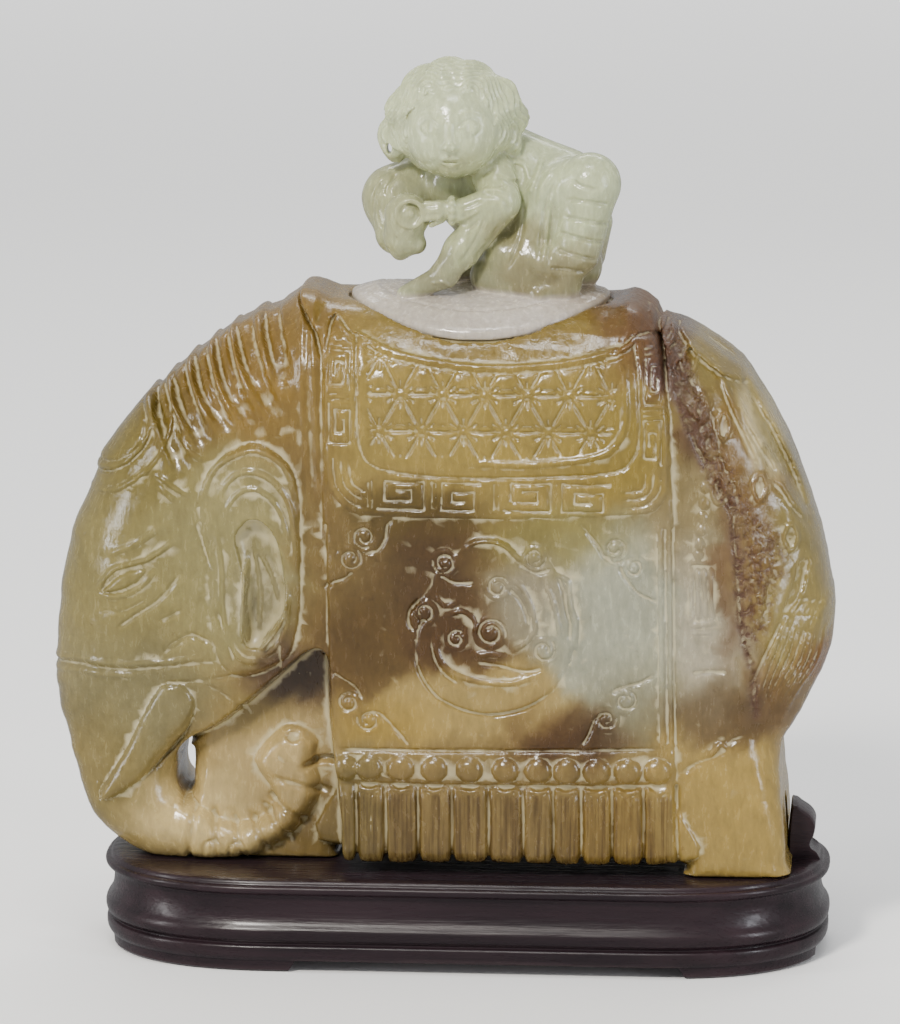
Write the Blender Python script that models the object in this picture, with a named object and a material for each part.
# A carved jade vessel in the form of a standing elephant, with its lid and its wooden stand.
# X runs from the trunk (-) to the tail (+), -Y is the side that is seen first, and Z is up.
import math

import bmesh
import bpy
import numpy as np

MM = 0.001

# Driving sizes, in millimetres
VESSEL_LENGTH = 151.5
BODY_DEPTH = 50.0
HEAD_DEPTH = 41.0
TRUNK_DEPTH = 34.0
RUMP_DEPTH = 46.0
FRONT_LEGS_DEPTH = 27.0
CLOTH_RAISE = 0.9
WALL = 5.5

LID_LENGTH = 50.0
LID_DEPTH = 42.0
LID_THICKNESS = 3.3
LID_MIDDLE_X = 6.6
SADDLE_DROP = 5.1
MOUTH_LENGTH = 39.0
MOUTH_DEPTH = 31.0
PLUG_HEIGHT = 4.0
PLUG_PLAY = 0.4
BOY_HEIGHT = 47.4

STAND_SHORTER = 9.1  # the head and the tail stand over the ends of the stand by this in all
STAND_LENGTH = VESSEL_LENGTH - STAND_SHORTER
STAND_DEPTH = 64.0
STAND_HEIGHT = 18.3
STAND_MIDDLE_X = 4.1
STAND_FOOT_HEIGHT = 2.4
STAND_END_LENGTH = 36.0

REST_GAP = 0.3  # between two pieces that rest on each other
SCROLL_PLAY = 0.7  # between the hind feet and the scroll of the stand

VESSEL_GRID = 1.0
BOY_GRID = 0.62
VESSEL_TRIANGLES = 4400
BOY_TRIANGLES = 1850
MERGE = 0.01  # points nearer than this are one
GRID_MARGIN = 4.0  # the sampled space goes this far past the shape

# Depth of the carving along the drawing
DEPTH_ALONG = [
    (-78.0, HEAD_DEPTH - 3), (-60.0, HEAD_DEPTH), (-30.0, HEAD_DEPTH + 3), (-18.0, BODY_DEPTH - 1),
    (0.0, BODY_DEPTH), (30.0, BODY_DEPTH), (46.0, RUMP_DEPTH + 1), (62.0, RUMP_DEPTH),
    (78.0, RUMP_DEPTH - 4),
]
HEAD_END_X = -30.0
TRUNK_TO_HEAD_UP = (18.0, 52.0)  # the trunk swells to the depth of the head between these heights
TRUNK_CURL_ROUND = 5.5
# Radius of the rounded edge between side and silhouette, along the drawing
EDGE_HIGH = [(-78.0, 14.5), (-50.0, 15.5), (-20.0, 17.0), (40.0, 17.0), (78.0, 17.5)]
EDGE_LOW = [(-78.0, 7.5), (-52.0, 7.5), (-46.0, 3.5), (40.0, 2.5), (47.0, 4.0), (78.0, 4.0)]
EDGE_BLEND_UP = (8.0, 46.0)

# The carving is laid out on a drawing of the side of the elephant, 151.5 units long.
DRAWN_LENGTH = 151.5
UNIT = VESSEL_LENGTH / DRAWN_LENGTH
DRAWN_MIDDLE_X = -0.45
SEAT_UP = 108.1
FOOT_LEVEL = STAND_HEIGHT + REST_GAP

# Points of the drawing: distance along X and height above the soles of the feet
BACK_AND_TRUNK = [
    (31.0, 108.3), (6.0, 108.6), (-19.5, 108.9), (-22.5, 109.5), (-27.0, 110.6), (-31.9, 107.8),
    (-39.5, 104.7), (-47.2, 99.2), (-54.1, 93.3), (-60.0, 86.7), (-66.0, 78.7), (-70.4, 68.6),
    (-73.7, 59.7), (-75.7, 47.7), (-76.2, 33.0), (-74.3, 23.6), (-70.8, 11.5), (-66.5, 5.0),
    (-59.8, 0.6), (-53.5, -1.5),
]
UNDERSIDE = [(-40.0, -1.5), (-20.0, -1.5), (-16.5, 2.7), (44.0, 3.0), (47.0, -1.5), (66.6, -1.5)]
RUMP_AND_TAIL = [
    (66.8, 2.0), (66.2, 10.0), (65.3, 20.1), (66.2, 25.5), (70.2, 32.5), (74.3, 41.0), (75.3, 47.1),
    (74.0, 56.0), (71.4, 67.8), (67.6, 79.6), (63.1, 88.4), (57.2, 97.1), (49.6, 102.5),
    (41.9, 105.7), (36.8, 108.8),
]
TRUNK_GAP = [
    (-49.2, 20.6), (-51.2, 18.6), (-52.2, 16.0), (-51.6, 12.9), (-50.2, 11.9), (-48.9, 13.0),
    (-48.8, 17.0),
]
FRONT_LEGS = [
    (-25.7, 42.3), (-34.2, 34.7), (-41.4, 28.6), (-49.5, 22.6), (-51.5, 18.0), (-50.0, 9.0), (-46.0, -3.0),
    (-20.0, -3.0), (-21.0, 30.0), (-21.6, 42.0),
]
TRUNK_CURL = [
    (-66.0, 36.0), (-54.0, 30.0), (-50.6, 22.9), (-50.6, 18.8), (-49.7, 15.2), (-46.7, 12.4), (-40.9, 9.4),
    (-35.5, 10.6), (-35.4, 13.0), (-37.6, 16.4), (-38.7, 19.8), (-37.3, 23.0), (-34.9, 25.8), (-32.2, 28.0),
    (-29.1, 28.9), (-25.9, 28.1), (-23.2, 26.2), (-21.7, 23.5), (-22.2, 20.0), (-21.3, 16.5), (-21.7, 11.7),
    (-23.7, 7.7), (-27.6, 3.2), (-32.5, 0.0), (-39.2, -3.0), (-54.0, -4.0), (-80.0, -4.0), (-80.0, 36.0),
]
CLOTH = [
    (-25.5, 116.0), (-22.3, 100.0), (-22.0, 72.9), (-21.5, 53.5), (-21.0, 33.9), (-20.1, 16.2),
    (-19.7, 2.0),
    (46.0, 2.0), (46.0, 15.4), (45.5, 35.0), (45.2, 54.5), (44.9, 73.9), (44.0, 93.2), (41.4, 106.5),
    (39.0, 116.0),
]
PAD = [
    (-21.0, 105.8), (-21.2, 78.7), (-20.0, 74.4), (-16.8, 71.2), (-11.0, 70.2), (8.3, 69.9), (31.2, 70.8),
    (40.2, 71.5), (43.2, 73.7), (44.1, 77.5), (43.8, 88.0), (42.4, 102.7), (37.6, 104.6), (33.3, 101.8),
    (27.4, 100.4), (20.6, 99.4), (12.8, 98.9), (4.4, 99.2), (-4.1, 100.4), (-10.4, 102.1), (-16.3, 104.7),
]
EAR = [
    (-45.2, 75.7), (-43.0, 79.2), (-39.7, 82.0), (-35.1, 83.4), (-30.9, 81.7), (-27.8, 78.3), (-26.7, 74.0),
    (-26.3, 68.1), (-26.2, 60.3), (-26.4, 52.5), (-27.2, 46.6), (-29.1, 41.6), (-34.2, 38.2), (-39.3, 37.3),
    (-42.0, 39.6), (-43.5, 44.4), (-44.2, 52.2), (-44.5, 59.3), (-45.4, 65.9), (-46.0, 71.8),
]
EAR_HOLLOW = [
    (-39.1, 64.8), (-37.7, 67.6), (-35.6, 68.8), (-32.9, 67.7), (-30.6, 64.2), (-29.4, 58.3), (-29.1, 52.4),
    (-30.7, 47.5), (-33.8, 43.7), (-37.3, 43.7), (-37.8, 50.3), (-37.2, 56.2), (-38.3, 60.9),
]
EAR_FOLD = [(-39.2, 76.9), (-35.5, 78.0), (-31.5, 76.3), (-28.6, 72.4), (-27.3, 66.2), (-27.3, 58.4)]
BROW_BOSS = [
    (-55.1, 90.8), (-54.2, 87.8), (-54.6, 83.9), (-56.6, 79.6), (-60.5, 76.0), (-65.6, 74.0), (-68.5, 74.5),
    (-63.0, 83.5),
]
NECK_FOLDS = [
    [(-34.2, 109.5), (-32.3, 103.7), (-30.7, 99.5), (-29.1, 94.4)],
    [(-40.2, 107.6), (-36.8, 99.6), (-33.4, 93.3), (-29.2, 86.6)],
    [(-44.0, 105.0), (-41.1, 97.0), (-38.2, 91.0), (-34.5, 85.9)],
    [(-48.2, 101.6), (-45.3, 94.2), (-42.4, 89.4), (-39.0, 84.9)],
    [(-52.4, 97.5), (-49.2, 90.6), (-46.6, 86.2), (-44.2, 82.0)],
    [(-56.2, 93.5), (-52.6, 86.6), (-50.6, 81.7), (-49.0, 76.5)],
]
TUSK = [
    (-55.5, 32.9), (-53.5, 35.1), (-50.8, 35.4), (-48.5, 34.0), (-47.5, 31.9), (-48.1, 28.3), (-50.5, 23.7),
    (-56.0, 17.7), (-61.9, 13.2), (-66.0, 11.3), (-66.6, 13.3), (-64.2, 16.9), (-61.4, 21.5), (-58.3, 27.7),
]
EYE = [(-65.2, 53.3), (-63.2, 55.6), (-60.1, 57.5), (-56.7, 58.1), (-58.1, 55.9), (-61.3, 54.1)]
TRUNK_RINGS = [
    [(-73.0, 57.2), (-70.5, 56.0)],
    [(-76.5, 45.0), (-72.5, 44.6)],
    [(-77.5, 37.5), (-70.6, 38.4), (-58.9, 38.2), (-44.0, 40.0)],
    [(-77.5, 31.0), (-72.0, 31.4)],
    [(-76.0, 25.4), (-72.0, 26.0)],
    [(-25.5, 7.0), (-30.5, 10.5), (-34.0, 13.0)],
    [(-33.5, 0.5), (-35.5, 5.5), (-37.0, 9.0)],
    [(-44.0, 0.0), (-44.0, 6.0), (-44.5, 10.0)],
]
TRUNK_TIP_NOTCH = [(-20.5, 19.8), (-23.5, 19.9), (-27.0, 18.6)]
TASSEL_GROOVES_X = [-15.6, -10.0, -3.7, 2.9, 9.9, 16.6, 22.4, 27.8, 33.7, 39.7]
TASSEL_TOP = 17.0
BEADS_X = [-17.6, -13.1, -6.9, -0.4, 6.4, 13.3, 19.6, 25.1, 30.8, 36.8, 42.4]
BEADS_UP = 20.8
BEAD_ROW_EDGES = [[(-20.0, 17.6), (12.0, 17.6), (45.8, 18.0)], [(-20.0, 24.4), (8.3, 24.4), (45.4, 24.9)]]
TAIL = [(64.0, 76.5), (68.2, 69.5), (71.4, 64.0), (73.2, 57.6), (73.2, 51.4), (70.6, 46.0)]
TAIL_TUFT = [
    (73.8, 53.5), (70.6, 47.5), (64.5, 38.0), (61.8, 29.5), (64.5, 27.5), (67.5, 30.0), (72.6, 39.0),
    (75.0, 45.0), (75.6, 50.0),
]
HIND_LEG = [
    (47.0, 16.8), (46.8, -3.0), (66.4, -3.0), (66.0, 10.0), (65.0, 20.0), (61.0, 26.0), (54.0, 26.8),
    (49.8, 22.5),
]
CRUPPER_STRAPS = [
    [(42.2, 108.5), (46.9, 104.0), (51.9, 98.3), (59.2, 95.7)],
    [(51.9, 98.3), (55.2, 93.9), (61.4, 83.9), (65.6, 75.3), (66.5, 70.5)],
]
FISSURE = [
    (37.0, 110.5), (39.5, 105.0), (42.2, 99.5), (46.8, 87.0), (53.0, 76.5), (55.9, 69.0), (58.0, 58.0),
    (58.8, 44.5), (60.3, 33.0),
]
# Raised and sunk fields of the carving: (height, width of the rounded edge)
CLOTH_FIELD = (CLOTH_RAISE, 1.2)
PAD_FIELD = (0.5, 0.8)
EAR_FIELD = (2.4, 3.5)
EAR_HOLLOW_FIELD = (-3.4, 3.0)
BROW_BOSS_FIELD = (1.3, 2.0)
TUSK_FIELD = (2.2, 2.6)
EYE_FIELD = (0.7, 1.2)
TAIL_TUFT_FIELD = (1.5, 2.5)
HIND_LEG_FIELD = (0.8, 2.0)
# Strokes of the carving: (width, height)
EAR_FOLD_STROKE = (3.0, 0.9)
NECK_FOLD_STROKE = (4.4, -1.3)
TRUNK_RING_STROKE = (2.6, -0.7)
TRUNK_TIP_STROKE = (2.4, -1.4)
TASSEL_STROKE = (1.8, -1.0)
BEAD_ROW_STROKE = (1.8, -0.8)
TAIL_STROKE = (5.5, 1.6)
STRAP_STROKE = (2.6, 0.8)
FISSURE_STROKE = (3.4, -1.2)
STROKE_TAPER = 0.15  # share of a stroke over which it runs out at each end
STROKE_END = 0.25
BEAD_SIZE = (2.9, 2.5)
BEAD_RAISE = 1.0
BELLY_LOW = (-15.0, -4.0)
BELLY_HIGH = (44.0, 11.5)
BELLY_HALF_DEPTH = 17.0
LEG_SLOT_BEHIND = 4.0  # the slot between the hind legs starts this far before the end of the belly
LEG_SLOT_HALF_DEPTH = 4.5
BELLY_ROUND = 3.0
CAVITY_MIDDLE = (11.0, 61.0)
CAVITY_HALF_LENGTH = 44.0
CAVITY_HALF_HEIGHT = 41.5
CAVITY_POWER = 2.6
MOUTH_FLOOR_UP = 88.0
ABOVE_ALL = 124.0
SEAT_MARGIN = 1.0

# The boy is drawn 47.4 units high, as distance along X, along Y and height above the seat of the lid.
DRAWN_BOY_HEIGHT = 47.4
BOY_SHAPES = [
    # (end, end, radius, radius): back, chest, hips and far side
    ((6.0, 3.0, 24.5), (21.5, 2.0, 21.0), 8.8, 8.6),
    ((12.0, 3.0, 26.0), (24.0, 2.5, 20.5), 7.6, 8.0),
    ((1.5, 0.0, 23.0), (8.0, 1.0, 17.5), 6.4, 7.5),
    ((10.0, 1.0, 16.0), (22.0, 1.0, 13.0), 8.0, 8.0),
    ((12.0, 2.0, 10.0), (24.0, 2.0, 7.0), 6.4, 6.0),
    # far arm in its wide sleeve
    ((-3.5, 2.0, 24.0), (-9.6, 1.0, 19.5), 5.0, 6.8),
    ((-9.6, 1.0, 19.5), (-9.4, -3.5, 13.5), 6.6, 4.2),
    # the held ball and its neck
    ((-6.9, -9.5, 17.6), (-8.0, -9.0, 13.6), 4.5, 3.5),
    ((-8.0, -9.0, 13.4), (-8.3, -8.6, 10.6), 2.2, 1.7),
    ((-8.0, -8.8, 12.4), (-5.2, -9.0, 12.2), 2.5, 2.0),
    # near arm: shoulder, elbow, hand on the ball
    ((9.0, -5.0, 25.8), (11.4, -10.0, 21.2), 4.6, 3.4),
    ((11.2, -10.4, 21.0), (3.0, -11.6, 18.9), 3.2, 2.4),
    ((3.0, -11.6, 18.9), (-2.0, -11.4, 19.6), 2.3, 1.7),
    # front limb that reaches down to the plate
    ((10.6, -9.4, 20.0), (3.6, -10.6, 11.2), 4.0, 3.3),
    ((3.6, -10.6, 11.2), (0.6, -10.4, 7.2), 3.4, 2.6),
    ((0.6, -10.4, 6.4), (-7.2, -10.0, 2.6), 2.5, 1.7),
    # far knee on the plate and far foot
    ((16.0, 5.0, 14.0), (10.0, 7.0, 5.0), 6.0, 4.6),
    ((11.0, 6.0, 8.0), (2.4, 5.0, 6.8), 4.8, 3.6),
    ((24.0, 6.0, 17.0), (25.0, 7.0, 5.0), 6.4, 4.2),
    ((28.6, 5.0, 15.0), (27.6, 5.4, 8.5), 3.2, 2.8),
    # near raised knee with its trouser leg, shin and foot
    ((20.5, -3.0, 20.5), (28.0, -6.5, 24.0), 6.6, 5.8),
    ((28.0, -6.5, 23.5), (25.6, -8.0, 11.0), 5.6, 4.6),
    ((24.6, -8.0, 9.0), (22.6, -8.6, 3.4), 3.6, 2.9),
    ((23.6, -8.0, 4.0), (18.6, -10.6, 2.9), 2.8, 1.9),
    ((18.6, -5.0, 16.0), (14.6, -8.0, 7.6), 5.0, 3.4),
    ((14.6, -8.0, 7.6), (18.6, -7.0, 3.8), 3.2, 2.8),
    # neck, and the robe that fills the space down to the plate
    ((3.0, -1.0, 27.0), (2.0, -3.0, 33.0), 5.2, 6.0),
    ((12.0, -6.0, 9.5), (20.4, -8.4, 8.6), 4.8, 4.2),
    ((9.0, -5.0, 5.6), (16.4, -7.6, 5.0), 4.2, 4.0),
]
HEAD_MIDDLE = (1.6, -4.2, 36.2)
HEAD_RADII = (12.2, 11.0, 11.2)
FACE_MIDDLE = (1.8, -7.4, 34.6)
FACE_RADII = (9.4, 9.0, 9.7)
FOREHEAD_HAIR_UP = 5.2
HAIR_DEPTH = 0.8
HAIR_LOBES = [
    ((-10.0, -3.6, 33.0), 2.9), ((-9.6, -4.0, 29.6), 2.0), ((13.2, -3.6, 36.0), 2.6),
    ((12.4, -3.6, 32.0), 2.4),
]
BALL_RING = ((-5.9, -13.5, 18.9), 2.6)
RING_THICKNESS = 0.8
BOY_BLEND = 1.4
HAIR_BLEND = 1.2
HEAD_BLEND = 0.9
RING_BLEND = 0.6
HAIR_STRANDS = 14
HAIR_WAVE = 0.35  # share of the hair's depth
# Pleats of the raised trouser leg: their spacing, depth, and where they start and end
PLEAT_STEP = 2.7
PLEAT_DEPTH = 0.28
PLEATS_FROM_X = (22.0, 25.0)
PLEATS_UP = (9.0, 11.0, 21.0, 23.5)

# The stand: half-oval ends, and an edge given as (height, inset from the widest line) from the top down
STAND_END_POWER = 2.4
STAND_END_STEPS = 14
DRAWN_STAND_HEIGHT = 18.3
STAND_EDGE = [
    (18.3, 2.3), (17.5, 1.2), (17.0, 0.2), (16.5, 0.0), (15.9, 0.3), (15.4, 1.3), (13.6, 1.7), (11.4, 1.5),
    (9.7, 0.9), (8.6, 0.1), (7.6, 0.0), (6.6, 0.3), (6.0, 0.9), (5.4, 0.9), (4.9, 0.2), (3.4, 0.3),
    (2.4, 0.9),
]
FOOT_INSET = 1.1
FOOT_WIDTH = 10.0
FOOT_OVERLAP = 0.6
FOOT_GAP_X = (-26.0, 46.0)
FOOT_GAP_Y = 11.0
SCROLL = [
    # (distance behind the hind feet, height above the top of the stand)
    (0.0, -1.5), (0.0, 9.2), (0.9, 10.4), (2.2, 9.6), (4.0, 8.3), (4.9, 6.6), (4.6, 4.4), (3.9, 2.8),
    (4.2, 1.6), (5.6, 0.4), (5.8, -1.5),
]
SCROLL_DEPTH = 10.0
SCROLL_BEVEL = 0.6

# Rims of the lid's plate from below: (share of its thickness, inset)
PLATE_RIM = [(0.0, 1.0), (0.27, 0.1), (0.64, 0.0), (1.0, 0.9)]
PLATE_RINGS = (0.7, 0.35)
OVAL_STEPS = 40
CAVITY_TURNS = 24
CAVITY_LEVELS = 12
CAVITY_CAP = 0.35  # how much of a level the flat top and bottom of the hollow take


def clear_scene():
    for obj in list(bpy.data.objects):
        bpy.data.objects.remove(obj, do_unlink=True)


# Curves and distances on the drawing
def smooth_path(points, closed, steps=5):
    """A Catmull-Rom curve through the points."""
    points = np.array(points, float)
    count = len(points)
    pieces = []
    for n in range(count if closed else count - 1):
        if closed:
            a, b, c, d = (points[(n + k - 1) % count] for k in range(4))
        else:
            a, b, c, d = (points[min(max(n + k - 1, 0), count - 1)] for k in range(4))
        t = np.arange(steps)[:, None] / steps
        curve = 2 * b + (c - a) * t + (2 * a - 5 * b + 4 * c - d) * t**2 + (3 * b - a - 3 * c + d) * t**3
        pieces.append(0.5 * curve)
    if not closed:
        pieces.append(points[-1:])
    return np.concatenate(pieces)


def path_distance(x, z, path):
    """Distance from each place to a path, and the share of the path passed there."""
    best = np.full(x.shape, 1e9)
    share = np.zeros(x.shape)
    for n in range(len(path) - 1):
        ax, az = path[n]
        dx, dz = path[n + 1] - path[n]
        along = ((x - ax) * dx + (z - az) * dz) / max(dx * dx + dz * dz, 1e-9)
        along = np.clip(along, 0, 1)
        away = np.hypot(x - ax - along * dx, z - az - along * dz)
        nearer = away < best
        best = np.where(nearer, away, best)
        share = np.where(nearer, (n + along) / (len(path) - 1), share)
    return best, share


def outline_distance(x, z, path):
    """Signed distance to a closed outline, negative inside."""
    ring = np.concatenate([path, path[:1]])
    away, _ = path_distance(x, z, ring)
    inside = np.zeros(x.shape, bool)
    for (ax, az), (bx, bz) in zip(ring[:-1], ring[1:]):
        if az == bz:
            continue
        crosses = (az > z) != (bz > z)
        inside ^= crosses & (x < ax + (z - az) * (bx - ax) / (bz - az))
    return np.where(inside, -away, away)


def smooth_step(value, low, high):
    t = np.clip((value - low) / (high - low), 0, 1)
    return t * t * (3 - 2 * t)


# Strokes of the carving, each added to a height map over the drawing
def add_line(relief, x, z, points, width, height):
    away, share = path_distance(x, z, smooth_path(points, False))
    ends = np.clip(np.minimum(share, 1 - share) / STROKE_TAPER, STROKE_END, 1)
    relief += height * ends * np.clip(1 - (2 * away / width) ** 2, 0, 1)


def add_patch(relief, x, z, points, height, edge):
    inward = np.clip(-outline_distance(x, z, smooth_path(points, True)) / edge, 0, 1)
    relief += height * np.sqrt(1 - (1 - inward) ** 2)


def add_dome(relief, x, z, middle, radii, height):
    away = ((x - middle[0]) / radii[0]) ** 2 + ((z - middle[1]) / radii[1]) ** 2
    relief += height * np.sqrt(np.clip(1 - away, 0, 1))


# Solid shapes as signed distances, and their surface as a mesh
def rounded_meet(first, second, radius):
    """Where two shapes overlap, with the edge between them rounded."""
    a = first + radius
    b = second + radius
    return np.minimum(np.maximum(a, b), 0) + np.hypot(np.maximum(a, 0), np.maximum(b, 0)) - radius


def smooth_join(first, second, blend):
    share = np.clip(0.5 + 0.5 * (second - first) / blend, 0, 1)
    return second + (first - second) * share - blend * share * (1 - share)


def tapered_limb(place, start, end, start_radius, end_radius):
    start = np.array(start)
    line = np.array(end) - start
    away = [p - s for p, s in zip(place, start)]
    along = np.clip(sum(a * d for a, d in zip(away, line)) / (line @ line), 0, 1)
    gap = np.sqrt(sum((a - along * d) ** 2 for a, d in zip(away, line)))
    return gap - start_radius - along * (end_radius - start_radius)


def egg(place, middle, radii):
    near = np.sqrt(sum(((p - m) / r) ** 2 for p, m, r in zip(place, middle, radii)))
    return (near - 1) * min(radii)


def grid_of(low, high, step):
    axes = [np.arange(a, b + step, step) for a, b in zip(low, high)]
    return np.meshgrid(*axes, indexing="ij")


def fill_pinches(values, step):
    """Fills the places where the sampled shape would touch itself along an edge or at a point."""
    cell = [n - 1 for n in values.shape]
    offsets = [(i, j, k) for i in (0, 1) for j in (0, 1) for k in (0, 1)]
    for _ in range(20):
        inside = values < 0
        grow = np.zeros(values.shape, bool)
        for axis in range(3):
            first, second = [n for n in range(3) if n != axis]
            square = []
            for a, b in ((0, 0), (1, 0), (0, 1), (1, 1)):
                part = [slice(None)] * 3
                part[first] = slice(a, a + cell[first])
                part[second] = slice(b, b + cell[second])
                square.append(tuple(part))
            p, q, r, s = (inside[part] for part in square)
            pinched = (p & s & ~q & ~r) | (q & r & ~p & ~s)
            for part in square:
                grow[part] |= pinched
        parts = [tuple(slice(o, o + n) for o, n in zip(offset, cell)) for offset in offsets]
        held = sum(inside[part].astype(np.int8) for part in parts)
        for part, far in zip(parts[:4], parts[:3:-1]):
            pinched = (held == 2) & inside[part] & inside[far]
            pinched |= (held == 6) & ~inside[part] & ~inside[far]
            for each in parts:
                grow[each] |= pinched
        grow &= ~inside
        if not grow.any():
            break
        values[grow] = -0.05 * step


def surface_net(values, low, step):
    """Points and four-sided faces of the surface where the sampled distance is zero."""
    fill_pinches(values, step)
    inside = values < 0
    size = [n - 1 for n in values.shape]
    corners = [(i, j, k) for i in (0, 1) for j in (0, 1) for k in (0, 1)]
    held = np.zeros(size, np.int8)
    for i, j, k in corners:
        held += inside[i : i + size[0], j : j + size[1], k : k + size[2]]
    cells = np.argwhere((held > 0) & (held < 8))
    number = np.full(size, -1, np.int32)
    number[tuple(cells.T)] = np.arange(len(cells))
    total = np.zeros((len(cells), 3))
    crossings = np.zeros(len(cells))
    for corner in corners:
        for axis in range(3):
            if corner[axis]:
                continue
            far = list(corner)
            far[axis] = 1
            start = values[tuple((cells + corner).T)]
            end = values[tuple((cells + far).T)]
            crossed = (start < 0) != (end < 0)
            place = np.tile(np.array(corner, float), (len(cells), 1))
            place[:, axis] = start / np.where(crossed, start - end, 1)
            total += place * crossed[:, None]
            crossings += crossed
    points = np.array(low) + (cells + total / crossings[:, None]) * step
    faces = []
    for axis in range(3):
        first = np.moveaxis(inside, axis, 0)[:-1]
        second = np.moveaxis(inside, axis, 0)[1:]
        edges = np.argwhere(first != second)
        outward = first[tuple(edges.T)]
        edges = np.insert(edges[:, 1:], axis, edges[:, 0], axis=1)
        across, up = (axis + 1) % 3, (axis + 2) % 3
        ring = []
        for a, b in ((0, 0), (1, 0), (1, 1), (0, 1)):
            cell = edges.copy()
            cell[:, across] -= a
            cell[:, up] -= b
            ring.append(number[tuple(cell.T)])
        ring = np.stack(ring, axis=1)
        faces.append(np.where(outward[:, None], ring, ring[:, ::-1]))
    return points, np.concatenate(faces)


# Objects
def plain_material(name, color, roughness):
    material = bpy.data.materials.new(name)
    material.use_nodes = True
    shader = material.node_tree.nodes["Principled BSDF"]
    shader.inputs["Base Color"].default_value = (*color, 1)
    shader.inputs["Roughness"].default_value = roughness
    return material


def mesh_object(name, points, faces):
    mesh = bpy.data.meshes.new(name)
    mesh.from_pydata((np.array(points) * MM).tolist(), [], np.array(faces).tolist())
    obj = bpy.data.objects.new(name, mesh)
    bpy.context.scene.collection.objects.link(obj)
    return obj


def edit_object(name, build):
    mesh = bpy.data.meshes.new(name)
    work = bmesh.new()
    build(work)
    bmesh.ops.recalc_face_normals(work, faces=work.faces)
    work.to_mesh(mesh)
    work.free()
    obj = bpy.data.objects.new(name, mesh)
    bpy.context.scene.collection.objects.link(obj)
    return obj


def settle(obj):
    """Replaces an object's mesh by what its modifiers make of it."""
    bpy.context.view_layer.update()
    graph = bpy.context.evaluated_depsgraph_get()
    made = bpy.data.meshes.new_from_object(obj.evaluated_get(graph))
    obj.modifiers.clear()
    obj.data = made


def thin_out(obj, triangles):
    now = sum(len(face.vertices) - 2 for face in obj.data.polygons)
    modifier = obj.modifiers.new("thin_out", "DECIMATE")
    modifier.ratio = triangles / now
    modifier.use_collapse_triangulate = True
    settle(obj)
    keep_main_body(obj)


def keep_main_body(obj):
    """Merges points that coincide and drops the slivers that a cut leaves loose."""
    work = bmesh.new()
    work.from_mesh(obj.data)
    bmesh.ops.triangulate(work, faces=work.faces)
    bmesh.ops.remove_doubles(work, verts=work.verts, dist=MERGE * MM)
    bmesh.ops.dissolve_degenerate(work, dist=MERGE * MM, edges=work.edges)
    left = set(work.faces)
    bodies = []
    while left:
        body, ahead = [], [left.pop()]
        while ahead:
            face = ahead.pop()
            body.append(face)
            for edge in face.edges:
                # a sliver that only touches the body shares its edges with more than two faces
                for other in edge.link_faces if len(edge.link_faces) == 2 else ():
                    if other in left:
                        left.remove(other)
                        ahead.append(other)
        bodies.append(body)
    main = max(bodies, key=len)
    loose = [face for body in bodies if body is not main for face in body]
    bmesh.ops.delete(work, geom=loose, context="FACES")
    work.to_mesh(obj.data)
    work.free()


def combine(obj, other, operation):
    modifier = obj.modifiers.new(operation.lower(), "BOOLEAN")
    modifier.solver = "EXACT"
    modifier.operation = operation
    modifier.object = other
    settle(obj)
    bpy.data.objects.remove(other, do_unlink=True)


def band(work, first, second):
    """Four-sided faces between two rings of equally many points."""
    count = len(first)
    for n in range(count):
        after = (n + 1) % count
        work.faces.new((first[n], first[after], second[after], second[n]))


def rings_solid(name, rings):
    """A closed solid through rings of equally many points, the first ring at the bottom."""

    def build(work):
        rows = [[work.verts.new(np.array(p) * MM) for p in ring] for ring in rings]
        for low, high in zip(rows[:-1], rows[1:]):
            band(work, low, high)
        work.faces.new(rows[0][::-1])
        work.faces.new(rows[-1])

    return edit_object(name, build)


# The vessel
def drawing_map(outline, step):
    low = np.floor(outline.min(axis=0) - GRID_MARGIN)
    high = np.ceil(outline.max(axis=0) + GRID_MARGIN)
    return grid_of(low, high, step), low


def body_half_depth(x, z):
    """Half of the depth of the carving before its relief, over the drawing."""
    depth = np.interp(x, *zip(*DEPTH_ALONG)) / 2
    trunk = TRUNK_DEPTH / 2 + (depth - TRUNK_DEPTH / 2) * smooth_step(z, *TRUNK_TO_HEAD_UP)
    depth = np.where(x < HEAD_END_X, trunk, depth)
    legs = smooth_step(-outline_distance(x, z, smooth_path(FRONT_LEGS, True)), -0.6, 1.2)
    depth += (FRONT_LEGS_DEPTH / 2 - depth) * legs
    curl = np.clip(-outline_distance(x, z, smooth_path(TRUNK_CURL, True)) / TRUNK_CURL_ROUND, 0, 1)
    raised = TRUNK_DEPTH / 2 * np.sqrt(1 - (1 - curl) ** 2)
    return np.maximum(depth, np.where(curl > 0, raised, 0))


def edge_radius(x, z):
    """Radius of the long rounded edge between the side and the silhouette."""
    high = np.interp(x, *zip(*EDGE_HIGH))
    low = np.interp(x, *zip(*EDGE_LOW))
    return low + (high - low) * smooth_step(z, *EDGE_BLEND_UP)


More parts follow.
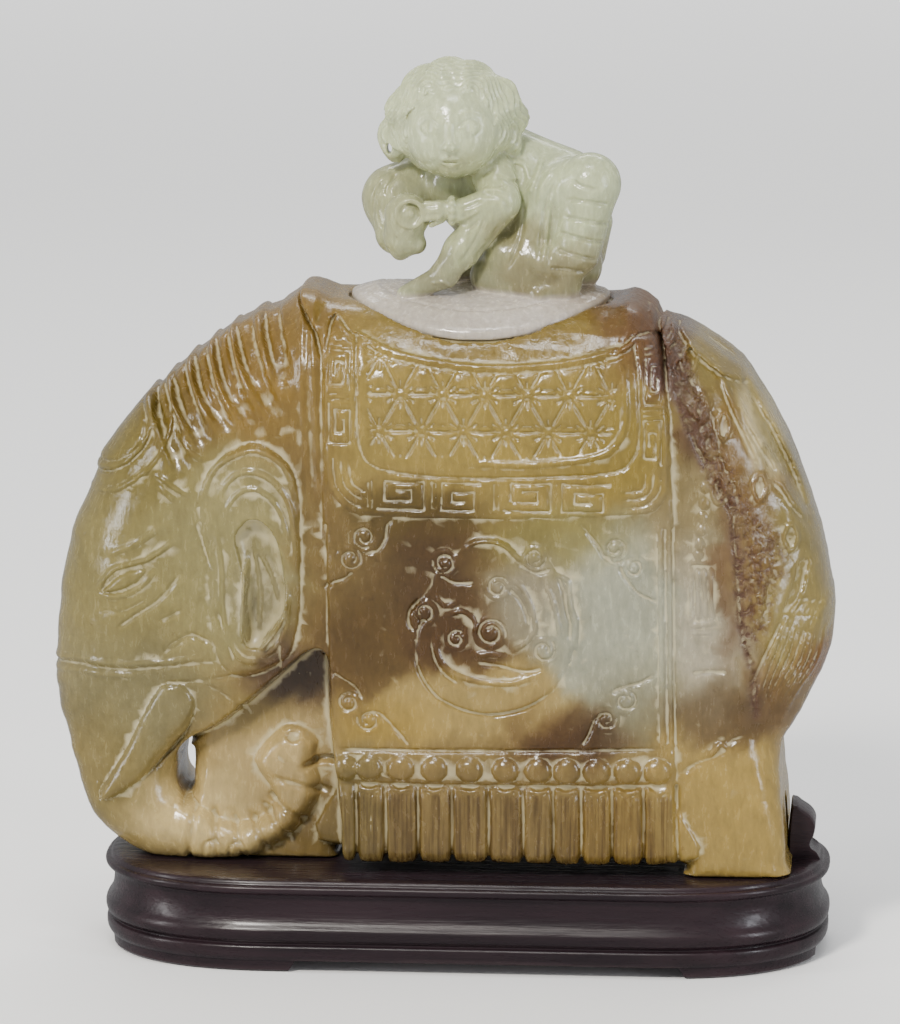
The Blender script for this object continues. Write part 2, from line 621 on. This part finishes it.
def vessel_relief(x, z):
    relief = np.zeros(x.shape)
    add_patch(relief, x, z, CLOTH, *CLOTH_FIELD)
    add_patch(relief, x, z, PAD, *PAD_FIELD)
    add_patch(relief, x, z, EAR, *EAR_FIELD)
    add_patch(relief, x, z, EAR_HOLLOW, *EAR_HOLLOW_FIELD)
    add_line(relief, x, z, EAR_FOLD, *EAR_FOLD_STROKE)
    add_patch(relief, x, z, BROW_BOSS, *BROW_BOSS_FIELD)
    for fold in NECK_FOLDS:
        add_line(relief, x, z, fold, *NECK_FOLD_STROKE)
    add_patch(relief, x, z, TUSK, *TUSK_FIELD)
    add_patch(relief, x, z, EYE, *EYE_FIELD)
    for ring in TRUNK_RINGS:
        add_line(relief, x, z, ring, *TRUNK_RING_STROKE)
    add_line(relief, x, z, TRUNK_TIP_NOTCH, *TRUNK_TIP_STROKE)
    for groove in TASSEL_GROOVES_X:
        add_line(relief, x, z, [(groove, TASSEL_TOP), (groove, 9), (groove, 1)], *TASSEL_STROKE)
    for edge in BEAD_ROW_EDGES:
        add_line(relief, x, z, edge, *BEAD_ROW_STROKE)
    for bead in BEADS_X:
        add_dome(relief, x, z, (bead, BEADS_UP), BEAD_SIZE, BEAD_RAISE)
    add_line(relief, x, z, TAIL, *TAIL_STROKE)
    add_patch(relief, x, z, TAIL_TUFT, *TAIL_TUFT_FIELD)
    add_patch(relief, x, z, HIND_LEG, *HIND_LEG_FIELD)
    for strap in CRUPPER_STRAPS:
        add_line(relief, x, z, strap, *STRAP_STROKE)
    add_line(relief, x, z, FISSURE, *FISSURE_STROKE)
    return relief


def vessel_mesh(step):
    outline = np.array(BACK_AND_TRUNK + UNDERSIDE + RUMP_AND_TAIL)
    (x, z), low = drawing_map(outline, step)
    across = outline_distance(x, z, smooth_path(outline, True, 4))
    gap = outline_distance(x, z, smooth_path(TRUNK_GAP, True))
    across = np.maximum(across, -gap)
    half = body_half_depth(x, z)
    relief = vessel_relief(x, z)
    half += relief
    across -= relief
    slope_x, slope_z = np.gradient(half, step)
    steep = np.sqrt(1 + np.minimum(slope_x**2 + slope_z**2, 8))
    radius = edge_radius(x, z)
    reach = max(depth for _, depth in DEPTH_ALONG) / 2 + GRID_MARGIN
    y = np.arange(-reach, reach + step, step)[None, :, None]
    out = (np.abs(y) - half[:, None, :]) / steep[:, None, :]
    field = rounded_meet(across[:, None, :], out, radius[:, None, :])
    field = np.maximum(field, -hollow_box(x, z, y))
    points, faces = surface_net(field, (low[0], -reach, low[1]), step)
    return points * UNIT, faces


def hollow_box(x, z, y):
    """The space between the legs, under the belly, and the slot between the hind legs."""
    middle = [(a + b) / 2 for a, b in zip(BELLY_LOW, BELLY_HIGH)]
    half = [(b - a) / 2 for a, b in zip(BELLY_LOW, BELLY_HIGH)]
    belly = rounded_meet(
        np.maximum(np.abs(x - middle[0]) - half[0], np.abs(z - middle[1]) - half[1])[:, None, :],
        np.abs(y) - BELLY_HALF_DEPTH,
        BELLY_ROUND,
    )
    slot = rounded_meet(
        np.maximum(BELLY_HIGH[0] - LEG_SLOT_BEHIND - x, z - BELLY_HIGH[1])[:, None, :],
        np.abs(y) - LEG_SLOT_HALF_DEPTH,
        BELLY_ROUND,
    )
    return np.minimum(belly, slot)


def seat_height(y):
    """Height of the saddle-shaped seat of the lid above the soles, over the depth."""
    return SEAT_UP * UNIT - SADDLE_DROP * (y / (LID_DEPTH / 2)) ** 2


def oval(length, depth, count):
    turn = np.arange(count) * 2 * math.pi / count
    return np.stack([length / 2 * np.cos(turn), depth / 2 * np.sin(turn)], axis=1)


def saddle_solid(name, length, depth, low, high, count=OVAL_STEPS, rings=4):
    """An oval block between two sheets, each given as its height over the depth."""
    edge = oval(length, depth, count)

    def build(work):
        rims = []
        for height in (low, high):
            middle = work.verts.new((0, 0, height(0) * MM))
            rows = [
                [work.verts.new((ex * MM, ey * MM, height(ey) * MM)) for ex, ey in edge * n / rings]
                for n in range(1, rings + 1)
            ]
            for n in range(count):
                work.faces.new((middle, rows[0][n], rows[0][(n + 1) % count]))
            for inner, outer in zip(rows[:-1], rows[1:]):
                band(work, inner, outer)
            rims.append(rows[-1])
        band(work, *rims)

    return edit_object(name, build)


def cavity_cutter():
    half_depth = BODY_DEPTH / 2 - WALL
    rings = []
    for n in range(CAVITY_LEVELS + 1):
        tilt = -math.pi / 2 + math.pi * (n + CAVITY_CAP) / (CAVITY_LEVELS + 2 * CAVITY_CAP)
        height = math.copysign(abs(math.sin(tilt)) ** (2 / CAVITY_POWER), math.sin(tilt))
        width = abs(math.cos(tilt)) ** (2 / CAVITY_POWER)
        ring = []
        for k in range(CAVITY_TURNS):
            turn = 2 * math.pi * k / CAVITY_TURNS
            ring.append((
                (CAVITY_MIDDLE[0] + CAVITY_HALF_LENGTH * width * math.cos(turn)) * UNIT,
                half_depth * width * math.sin(turn),
                (CAVITY_MIDDLE[1] + CAVITY_HALF_HEIGHT * height) * UNIT,
            ))
        rings.append(ring)
    return rings_solid("cavity_cutter", rings)


def mouth_cutter():
    edge = oval(MOUTH_LENGTH, MOUTH_DEPTH, OVAL_STEPS) + np.array((LID_MIDDLE_X * UNIT, 0))
    levels = (MOUTH_FLOOR_UP * UNIT, ABOVE_ALL * UNIT)
    return rings_solid("mouth_cutter", [[(ex, ey, level) for ex, ey in edge] for level in levels])


def ground_cutter():
    reach = VESSEL_LENGTH
    corners = [(-reach, -reach), (reach, -reach), (reach, reach), (-reach, reach)]
    return rings_solid("ground_cutter", [[(cx, cy, level) for cx, cy in corners] for level in (-reach, 0)])


def build_vessel():
    points, faces = vessel_mesh(VESSEL_GRID)
    vessel = mesh_object("vessel", points, faces)
    thin_out(vessel, VESSEL_TRIANGLES)
    combine(vessel, ground_cutter(), "DIFFERENCE")
    seat = saddle_solid(
        "seat_cutter",
        LID_LENGTH + SEAT_MARGIN,
        LID_DEPTH + SEAT_MARGIN,
        seat_height,
        lambda y: ABOVE_ALL * UNIT,
    )
    seat.location.x = LID_MIDDLE_X * UNIT * MM
    combine(vessel, seat, "DIFFERENCE")
    combine(vessel, cavity_cutter(), "DIFFERENCE")
    combine(vessel, mouth_cutter(), "DIFFERENCE")
    keep_main_body(vessel)
    vessel.location = (-DRAWN_MIDDLE_X * UNIT * MM, 0, FOOT_LEVEL * MM)
    vessel.data.materials.append(plain_material("mottled_jade", (0.32, 0.23, 0.10), 0.25))
    return vessel


# The lid
def boy_bounds():
    balls = [(start, radius) for start, _, radius, _ in BOY_SHAPES]
    balls += [(end, radius) for _, end, _, radius in BOY_SHAPES]
    balls += [(HEAD_MIDDLE, max(HEAD_RADII)), (FACE_MIDDLE, max(FACE_RADII))] + HAIR_LOBES
    low = np.min([np.array(middle) - radius for middle, radius in balls], axis=0)
    high = np.max([np.array(middle) + radius for middle, radius in balls], axis=0)
    return low - GRID_MARGIN, high + GRID_MARGIN


def boy_mesh(step):
    low, high = boy_bounds()
    place = grid_of(low, high, step)
    field = None
    for start, end, start_radius, end_radius in BOY_SHAPES:
        limb = tapered_limb(place, start, end, start_radius, end_radius)
        field = limb if field is None else smooth_join(field, limb, BOY_BLEND)
    head = egg(place, HEAD_MIDDLE, HEAD_RADII)
    for middle, radius in HAIR_LOBES:
        head = smooth_join(head, egg(place, middle, (radius, radius * 1.1, radius * 1.3)), HAIR_BLEND)
    turn = np.arctan2(place[2] - FACE_MIDDLE[2], place[0] - FACE_MIDDLE[0])
    head -= HAIR_WAVE * HAIR_DEPTH * np.cos(HAIR_STRANDS * turn + 3 * np.sin(place[1] * 0.5))
    face = egg(place, FACE_MIDDLE, FACE_RADII)
    # the hair stands back from the front of the face, below the fringe
    parting = np.maximum(place[2] - FACE_MIDDLE[2] - FOREHEAD_HAIR_UP, place[1] - FACE_MIDDLE[1] + 1.5)
    parting = np.maximum(parting, egg(place, FACE_MIDDLE, [r + 0.9 for r in FACE_RADII]))
    head = np.minimum(np.maximum(head, -parting), face)
    field = smooth_join(field, head, HEAD_BLEND)
    ring_middle, ring_radius = BALL_RING
    ring = np.abs(np.hypot(place[0] - ring_middle[0], place[2] - ring_middle[2]) - ring_radius)
    boss = np.hypot(ring, place[1] - ring_middle[1]) - RING_THICKNESS
    field = smooth_join(field, boss, RING_BLEND)
    pleats = np.cos(2 * math.pi * (place[2] - 10) / PLEAT_STEP) * smooth_step(place[0], *PLEATS_FROM_X)
    pleats *= smooth_step(place[2], *PLEATS_UP[:2]) * (1 - smooth_step(place[2], *PLEATS_UP[2:]))
    field += PLEAT_DEPTH * pleats
    # the figure starts half-way up the plate, which its lowest face follows
    plate_middle = REST_GAP + LID_THICKNESS / 2 - SADDLE_DROP * (place[1] / (LID_DEPTH / 2)) ** 2
    field = np.maximum(field, plate_middle - place[2])
    points, faces = surface_net(field, low, step)
    return points * (BOY_HEIGHT / DRAWN_BOY_HEIGHT), faces


def plate_solid():
    """The oval plate: its rim is widest half-way up and its two edges are bevelled."""

    def ring(work, height, length, depth):
        edge = oval(length, depth, OVAL_STEPS)
        return [work.verts.new((ex * MM, ey * MM, (plate_bottom(ey) + height) * MM)) for ex, ey in edge]

    def build(work):
        rims = []
        for share, inset in PLATE_RIM:
            size = (LID_LENGTH - 2 * inset, LID_DEPTH - 2 * inset)
            rims.append((ring(work, share * LID_THICKNESS, *size), share * LID_THICKNESS, size))
        for low, high in zip(rims[:-1], rims[1:]):
            band(work, low[0], high[0])
        for outer, height, (length, depth) in (rims[0], rims[-1]):
            for share in PLATE_RINGS:
                inner = ring(work, height, length * share, depth * share)
                band(work, inner, outer)
                outer = inner
            middle = work.verts.new((0, 0, (plate_bottom(0) + height) * MM))
            for n in range(OVAL_STEPS):
                work.faces.new((middle, outer[n], outer[(n + 1) % OVAL_STEPS]))

    return edit_object("lid", build)


def plate_bottom(y):
    return seat_height(y) + REST_GAP


def build_lid():
    lid = plate_solid()
    points, faces = boy_mesh(BOY_GRID)
    points[:, 0] -= LID_MIDDLE_X * UNIT
    points[:, 2] += SEAT_UP * UNIT
    boy = mesh_object("boy", points, faces)
    thin_out(boy, BOY_TRIANGLES)
    combine(lid, boy, "UNION")
    plug_bottom = seat_height(MOUTH_DEPTH / 2) - PLUG_HEIGHT
    plug = saddle_solid(
        "plug",
        MOUTH_LENGTH - 2 * PLUG_PLAY,
        MOUTH_DEPTH - 2 * PLUG_PLAY,
        lambda y: plug_bottom,
        lambda y: plate_bottom(y) + LID_THICKNESS / 2,
    )
    combine(lid, plug, "UNION")
    keep_main_body(lid)
    lid.location = ((LID_MIDDLE_X - DRAWN_MIDDLE_X) * UNIT * MM, 0, FOOT_LEVEL * MM)
    lid.data.materials.append(plain_material("pale_jade", (0.55, 0.58, 0.44), 0.25))
    return lid


# The stand
def stand_outline(inset):
    half = STAND_LENGTH / 2 - inset
    straight = STAND_LENGTH / 2 - STAND_END_LENGTH
    depth = STAND_DEPTH / 2 - inset
    points = []
    for side, start in ((1, -90), (-1, 90)):
        for n in range(STAND_END_STEPS + 1):
            turn = math.radians(start + 180 * n / STAND_END_STEPS)
            sin = math.sin(turn)
            along = (half - straight) * abs(math.cos(turn)) ** (2 / STAND_END_POWER)
            across = math.copysign(depth * abs(sin) ** (2 / STAND_END_POWER), sin)
            points.append((side * (straight + along), across))
    return points


def stand_solid():
    scale = STAND_HEIGHT / DRAWN_STAND_HEIGHT
    rings = []
    for height, inset in STAND_EDGE[::-1]:
        rings.append([(px, py, height * scale) for px, py in stand_outline(inset)])
    return rings_solid("stand", rings)


def stand_feet():
    outer = stand_outline(FOOT_INSET)
    inner = stand_outline(FOOT_INSET + FOOT_WIDTH)
    high = STAND_FOOT_HEIGHT + FOOT_OVERLAP
    feet = rings_solid("feet", [[(px, py, level) for px, py in outer] for level in (0, high)])
    core = rings_solid("core", [[(px, py, level) for px, py in inner] for level in (-1, high + 1)])
    combine(feet, core, "DIFFERENCE")
    left, right = (x * UNIT - STAND_MIDDLE_X for x in FOOT_GAP_X)
    gap_across = (left, right, -STAND_DEPTH, STAND_DEPTH)
    gap_along = (-STAND_LENGTH, STAND_LENGTH, -FOOT_GAP_Y, FOOT_GAP_Y)
    for x_low, x_high, y_low, y_high in (gap_across, gap_along):
        corners = [(x_low, y_low), (x_high, y_low), (x_high, y_high), (x_low, y_high)]
        cut = rings_solid("cut", [[(px, py, level) for px, py in corners] for level in (-1, high + 1)])
        combine(feet, cut, "DIFFERENCE")
    return feet


def stand_scroll():
    behind_feet = RUMP_AND_TAIL[0][0] * UNIT + SCROLL_PLAY
    outline = smooth_path(SCROLL, True, 3) + (behind_feet - STAND_MIDDLE_X, STAND_HEIGHT)
    half = SCROLL_DEPTH / 2

    def build(work):
        rows = []
        middle = outline.mean(axis=0)
        reach = np.hypot(*(outline - middle).T).max()
        level = half - SCROLL_BEVEL
        for depth, inset in ((-half, SCROLL_BEVEL), (-level, 0), (level, 0), (half, SCROLL_BEVEL)):
            ring = middle + (outline - middle) * (1 - inset / reach)
            rows.append([work.verts.new((px * MM, depth * MM, pz * MM)) for px, pz in ring])
        for low, high in zip(rows[:-1], rows[1:]):
            band(work, low, high)
        work.faces.new(rows[0])
        work.faces.new(rows[-1])

    return edit_object("scroll", build)


def build_stand():
    stand = stand_solid()
    combine(stand, stand_feet(), "UNION")
    combine(stand, stand_scroll(), "UNION")
    stand.location = ((STAND_MIDDLE_X - DRAWN_MIDDLE_X * UNIT) * MM, 0, 0)
    stand.data.materials.append(plain_material("dark_wood", (0.02, 0.012, 0.014), 0.35))
    return stand


def main():
    clear_scene()
    build_vessel()
    build_lid()
    build_stand()


main()
